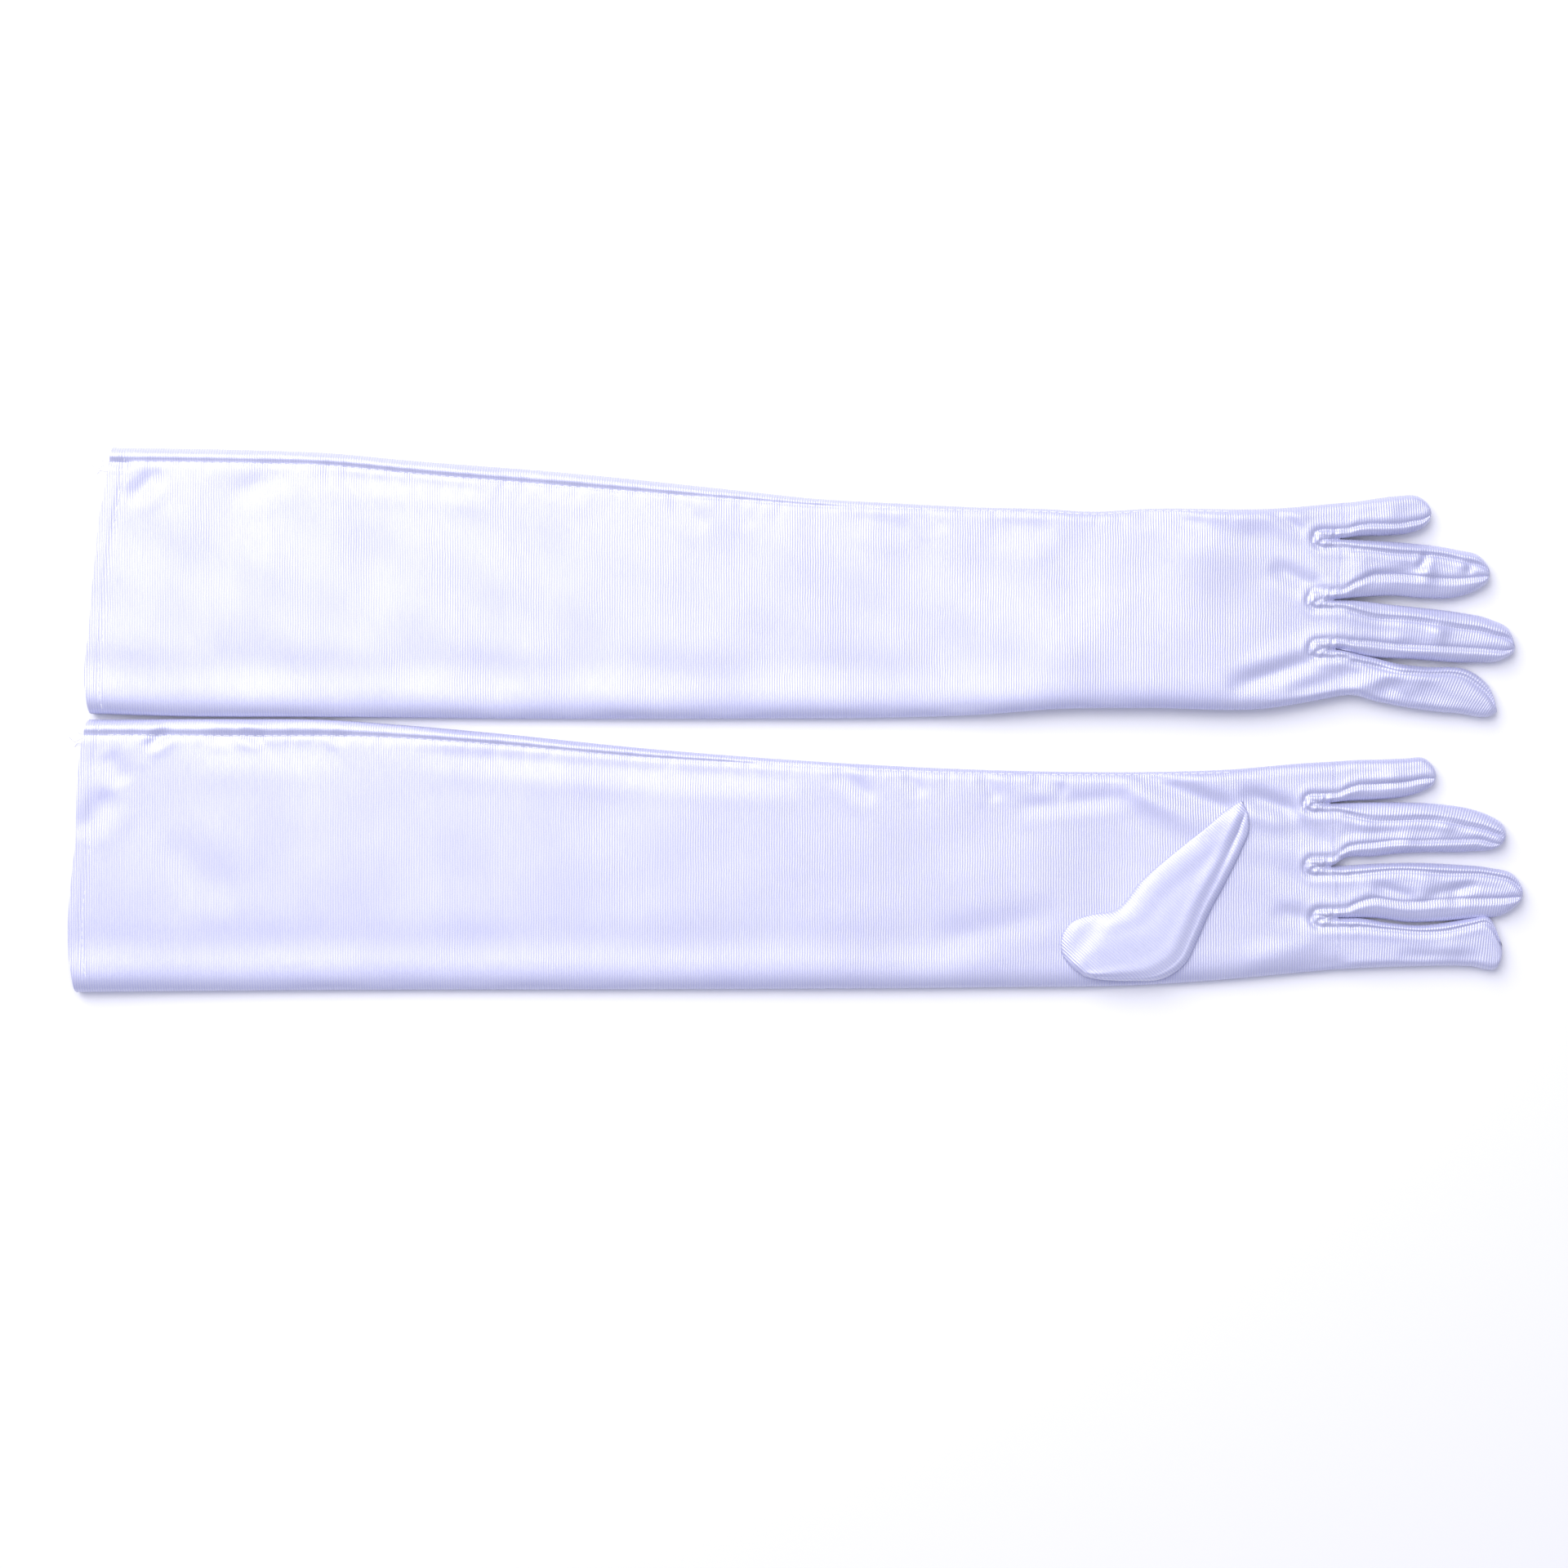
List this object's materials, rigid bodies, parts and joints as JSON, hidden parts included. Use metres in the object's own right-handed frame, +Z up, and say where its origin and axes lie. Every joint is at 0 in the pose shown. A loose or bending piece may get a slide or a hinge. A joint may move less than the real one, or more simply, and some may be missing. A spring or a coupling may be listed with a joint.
{
  "type": "opera gloves",
  "caption": "Pair of long stretch-satin opera gloves lying flat side by side, one back up and one palm up with its thumb folded over, jointed at elbow, wrist, fingers and thumb.",
  "frame": {"origin": "middle of the pair's bounding box, on the surface that the gloves lie on", "axes": "+X from the cuffs to the fingertips, +Y from the palm-up right glove to the back-up left glove, +Z up"},
  "size_m": [0.5526, 0.206, 0.0131],
  "materials": {
    "satin_panel": "lustrous stretch satin knit, icy white with a lavender-blue cast",
    "satin_strip": "the same satin cut as narrow strips",
    "sewing_thread": "matte polyester sewing thread and raw seam edges"
  },
  "bodies": {
    "left_upper_arm": {"left_upper_sleeve": "satin_panel", "left_hem_facing": "satin_panel", "left_hem_stitching": "sewing_thread", "left_upper_side_seam": "sewing_thread", "left_thread_end": "sewing_thread"},
    "left_forearm": {"left_forearm": "satin_panel", "left_forearm_side_seam": "sewing_thread"},
    "left_hand": {"left_hand": "satin_panel", "left_hand_side_seam": "sewing_thread"},
    "left_thumb": {"left_thumb": "satin_panel"},
    "left_index_finger": {"left_index_finger": "satin_panel", "left_index_fourchette_seam_side": "satin_strip"},
    "left_middle_finger": {"left_middle_finger": "satin_panel", "left_middle_fourchette_fold_side": "satin_strip", "left_middle_fourchette_seam_side": "satin_strip"},
    "left_ring_finger": {"left_ring_finger": "satin_panel", "left_ring_fourchette_fold_side": "satin_strip", "left_ring_fourchette_seam_side": "satin_strip"},
    "left_little_finger": {"left_little_finger": "satin_panel", "left_little_fourchette_fold_side": "satin_strip"},
    "right_upper_arm": {"right_upper_sleeve": "satin_panel", "right_hem_facing": "satin_panel", "right_hem_stitching": "sewing_thread", "right_upper_side_seam": "sewing_thread", "right_thread_end": "sewing_thread"},
    "right_forearm": {"right_forearm": "satin_panel", "right_forearm_side_seam": "sewing_thread"},
    "right_hand": {"right_hand": "satin_panel", "right_hand_side_seam": "sewing_thread"},
    "right_thumb": {"right_thumb": "satin_panel"},
    "right_index_finger": {"right_index_finger": "satin_panel", "right_index_fourchette_seam_side": "satin_strip"},
    "right_middle_finger": {"right_middle_finger": "satin_panel", "right_middle_fourchette_fold_side": "satin_strip", "right_middle_fourchette_seam_side": "satin_strip"},
    "right_ring_finger": {"right_ring_finger": "satin_panel", "right_ring_fourchette_fold_side": "satin_strip", "right_ring_fourchette_seam_side": "satin_strip"},
    "right_little_finger": {"right_little_finger": "satin_panel", "right_little_fourchette_fold_side": "satin_strip"}
  },
  "joints": [
    {"name": "left_elbow", "type": "hinge", "parent": "left_upper_arm", "child": "left_forearm", "pos_m": [-0.13898, 0.05, 0.0071], "axis": [0, -1, 0], "range_deg": [0, 120]},
    {"name": "left_wrist", "type": "hinge", "parent": "left_forearm", "child": "left_hand", "pos_m": [0.09802, 0.042, 0.0132], "axis": [0, -1, 0], "range_deg": [0, 70]},
    {"name": "left_thumb_swing", "type": "hinge", "parent": "left_hand", "child": "left_thumb", "pos_m": [0.12702, 0.0207, 0.003], "axis": [0, 0, 1], "range_deg": [-60, 0]},
    {"name": "left_index_finger_bend", "type": "hinge", "parent": "left_hand", "child": "left_index_finger", "pos_m": [0.20402, 0.0168, 0.0117], "axis": [-0.1288, -0.9917, 0], "range_deg": [0, 90]},
    {"name": "left_middle_finger_bend", "type": "hinge", "parent": "left_hand", "child": "left_middle_finger", "pos_m": [0.20162, 0.036, 0.0117], "axis": [-0.0976, -0.9952, 0], "range_deg": [0, 90]},
    {"name": "left_ring_finger_bend", "type": "hinge", "parent": "left_hand", "child": "left_ring_finger", "pos_m": [0.19852, 0.057, 0.0117], "axis": [-0.0488, -0.9988, 0], "range_deg": [0, 90]},
    {"name": "left_little_finger_bend", "type": "hinge", "parent": "left_hand", "child": "left_little_finger", "pos_m": [0.19602, 0.0746, 0.0117], "axis": [0.0802, -0.9968, 0], "range_deg": [0, 90]},
    {"name": "right_glove_lift", "type": "slide", "parent": "left_upper_arm", "child": "right_upper_arm", "axis": [0, 0, 1], "range_m": [0, 0.15]},
    {"name": "right_elbow", "type": "hinge", "parent": "right_upper_arm", "child": "right_forearm", "pos_m": [-0.13828, -0.05, 0.0071], "axis": [0, -1, 0], "range_deg": [0, 120]},
    {"name": "right_wrist", "type": "hinge", "parent": "right_forearm", "child": "right_hand", "pos_m": [0.09872, -0.06, 0.0071], "axis": [0, -1, 0], "range_deg": [0, 70]},
    {"name": "right_thumb_turn", "type": "hinge", "parent": "right_hand", "child": "right_thumb", "pos_m": [0.12112, -0.101, 0.00695], "axis": [1, 0, 0], "range_deg": [0, 165]},
    {"name": "right_index_finger_bend", "type": "hinge", "parent": "right_hand", "child": "right_index_finger", "pos_m": [0.20162, -0.0855, 0.0067], "axis": [0.0035, -1, 0], "range_deg": [0, 90]},
    {"name": "right_middle_finger_bend", "type": "hinge", "parent": "right_hand", "child": "right_middle_finger", "pos_m": [0.20112, -0.0639, 0.0067], "axis": [-0.0105, -0.9999, 0], "range_deg": [0, 90]},
    {"name": "right_ring_finger_bend", "type": "hinge", "parent": "right_hand", "child": "right_ring_finger", "pos_m": [0.19942, -0.0433, 0.0067], "axis": [-0.0087, -1, 0], "range_deg": [0, 90]},
    {"name": "right_little_finger_bend", "type": "hinge", "parent": "right_hand", "child": "right_little_finger", "pos_m": [0.19662, -0.0253, 0.0067], "axis": [0.1045, -0.9945, 0], "range_deg": [0, 90]}
  ]
}
